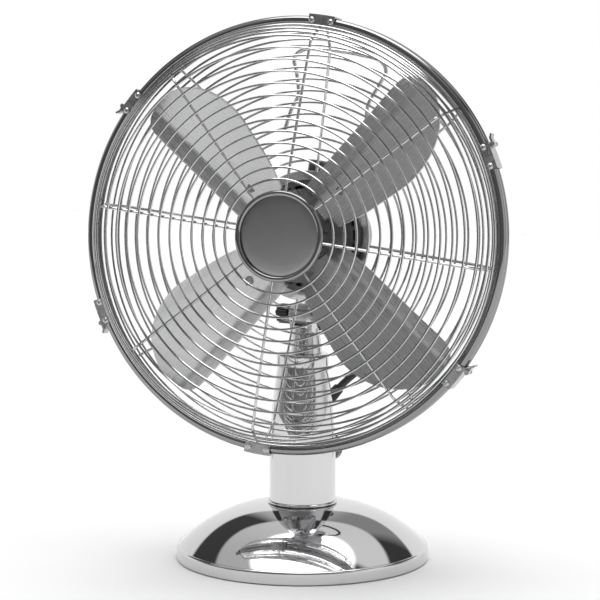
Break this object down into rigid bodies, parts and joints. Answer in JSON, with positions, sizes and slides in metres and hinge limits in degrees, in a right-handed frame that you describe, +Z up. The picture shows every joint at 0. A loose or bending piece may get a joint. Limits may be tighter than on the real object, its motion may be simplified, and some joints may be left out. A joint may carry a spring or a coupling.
{
  "type": "desk fan",
  "caption": "Table fan with a chromed domed base and pole, a round wire guard in two clipped halves, pressed metal blades, a tilting neck and an oscillating motor head",
  "frame": {"origin": "centre of the base where it rests on the table", "axes": "+Z up; the stand faces -Y, with its speed knob at +Y; the tilt axis is along X"},
  "size_m": [0.3225, 0.2326, 0.4332],
  "materials": {
    "chrome": "bright chrome plate on pressed steel",
    "guard_chrome": "bright chrome plate on welded wire",
    "hoop_chrome": "bright chrome plate on rolled tube",
    "clip_steel": "plated spring steel",
    "fastener_steel": "zinc plated steel",
    "blade_aluminium": "satin brushed aluminium",
    "hub_steel": "satin aluminium",
    "motor_paint": "silver grey paint",
    "cover_paint": "grey paint",
    "dark_plastic": "moulded plastic",
    "gland_rubber": "black rubber",
    "lead_sheath": "black flexible sheath",
    "iron_core": "dark iron",
    "winding_copper": "varnished copper wire",
    "bearing_brass": "sintered bronze and brass",
    "yoke_metal": "cast aluminium",
    "switch_plastic": "moulded plastic"
  },
  "bodies": {
    "stand": {"base_shell": "chrome", "base_weight": "iron_core", "base_plate": "iron_core", "rubber_feet": "gland_rubber", "base_screws": "fastener_steel", "cord_gland": "gland_rubber", "foot_ring": "chrome", "pole_tube": "chrome", "tie_rod": "iron_core", "tie_nuts": "iron_core", "pole_cap": "chrome", "lead_grommet": "gland_rubber", "speed_switch": "switch_plastic", "neck_post": "chrome", "tilt_pin": "fastener_steel", "motor_lead_lower": "lead_sheath"},
    "speed_knob_body": {"speed_knob": "dark_plastic"},
    "tilt_knob_body": {"tilt_knob": "dark_plastic"},
    "yoke_body": {"yoke": "yoke_metal", "pivot_bush": "bearing_brass"},
    "link_body": {"drag_link": "iron_core"},
    "head": {"pivot_spindle": "fastener_steel", "gearbox_housing": "motor_paint", "gearbox_cover": "motor_paint", "motor_shell": "motor_paint", "motor_front_cover": "cover_paint", "cover_screws": "fastener_steel", "front_bearing": "bearing_brass", "rear_bearing": "bearing_brass", "stator_core": "iron_core", "stator_coils": "winding_copper", "strain_relief": "gland_rubber", "motor_lead_upper": "lead_sheath", "rear_guard": "guard_chrome", "rear_hoop": "hoop_chrome", "front_guard": "guard_chrome", "front_hoop": "hoop_chrome", "carry_handle": "guard_chrome", "badge_ring": "hoop_chrome", "badge_disc": "hub_steel", "clip_plates": "clip_steel", "clip_rivets": "fastener_steel"},
    "rotor": {"motor_shaft": "fastener_steel", "rotor_core": "iron_core", "worm": "bearing_brass", "blade_hub": "hub_steel", "blade_1": "blade_aluminium", "blade_2": "blade_aluminium", "blade_3": "blade_aluminium", "blade_4": "blade_aluminium", "blade_rivets": "fastener_steel", "spinner": "dark_plastic"},
    "gear_body": {"gear_spindle": "bearing_brass"},
    "swing_knob_body": {"swing_knob": "dark_plastic"},
    "clip_lever_1_body": {"clip_lever_1": "clip_steel"},
    "clip_lever_2_body": {"clip_lever_2": "clip_steel"},
    "clip_lever_3_body": {"clip_lever_3": "clip_steel"},
    "clip_lever_4_body": {"clip_lever_4": "clip_steel"}
  },
  "joints": [
    {"name": "speed_turn", "type": "hinge", "parent": "stand", "child": "speed_knob_body", "pos_m": [0, 0.035, 0.084], "axis": [0, 1, 0], "range_deg": [0, 120]},
    {"name": "tilt_lock_turn", "type": "hinge", "parent": "stand", "child": "tilt_knob_body", "pos_m": [-0.018, 0.005, 0.1955], "axis": [1, 0, 0], "range_deg": [0, 180]},
    {"name": "head_tilt", "type": "hinge", "parent": "stand", "child": "yoke_body", "pos_m": [0, 0.005, 0.1955], "axis": [-1, 0, 0], "range_deg": [-12, 16], "deforming": ["motor_lead_upper", "motor_lead_lower"]},
    {"name": "oscillation", "type": "hinge", "parent": "yoke_body", "child": "head", "pos_m": [0, 0.02993, 0.19367], "axis": [0, 0.0732, 0.9973], "range_deg": [-54, 18], "deforming": ["motor_lead_upper"]},
    {"name": "link_swing", "type": "hinge", "parent": "yoke_body", "child": "link_body", "pos_m": [-0.012, 0.02682, 0.20593], "axis": [0, 0.0732, 0.9973], "range_deg": [-48.6, 16.2]},
    {"name": "blade_spin", "type": "hinge", "parent": "head", "child": "rotor", "pos_m": [0.02843, -0.05264, 0.26391], "axis": [0.309, -0.9485, 0.0697], "continuous": true},
    {"name": "crank_turn", "type": "hinge", "parent": "head", "child": "gear_body", "pos_m": [-0.01702, 0.04169, 0.25698], "axis": [0, 0.0732, 0.9973], "continuous": true},
    {"name": "swing_knob_pull", "type": "slide", "parent": "gear_body", "child": "swing_knob_body", "axis": [0, 0.0732, 0.9973], "range_m": [0, 0.008]},
    {"name": "clip_lever_1_open", "type": "hinge", "parent": "head", "child": "clip_lever_1_body", "pos_m": [0.17469, 0.0003, 0.3359], "axis": [-0.309, 0.9485, -0.0697], "range_deg": [0, 60]},
    {"name": "clip_lever_2_open", "type": "hinge", "parent": "head", "child": "clip_lever_2_body", "pos_m": [0.16389, -0.01573, 0.16559], "axis": [-0.309, 0.9485, -0.0697], "range_deg": [0, 60]},
    {"name": "clip_lever_3_open", "type": "hinge", "parent": "head", "child": "clip_lever_3_body", "pos_m": [-0.11783, -0.10558, 0.19192], "axis": [-0.309, 0.9485, -0.0697], "range_deg": [0, 60]},
    {"name": "clip_lever_4_open", "type": "hinge", "parent": "head", "child": "clip_lever_4_body", "pos_m": [-0.10703, -0.08955, 0.36222], "axis": [-0.309, 0.9485, -0.0697], "range_deg": [0, 60]}
  ],
  "couplings": [
    {"joint": "crank_turn", "follows": "blade_spin", "ratio": 0.055556},
    {"joint": "link_swing", "follows": "oscillation", "ratio": 0.9}
  ]
}
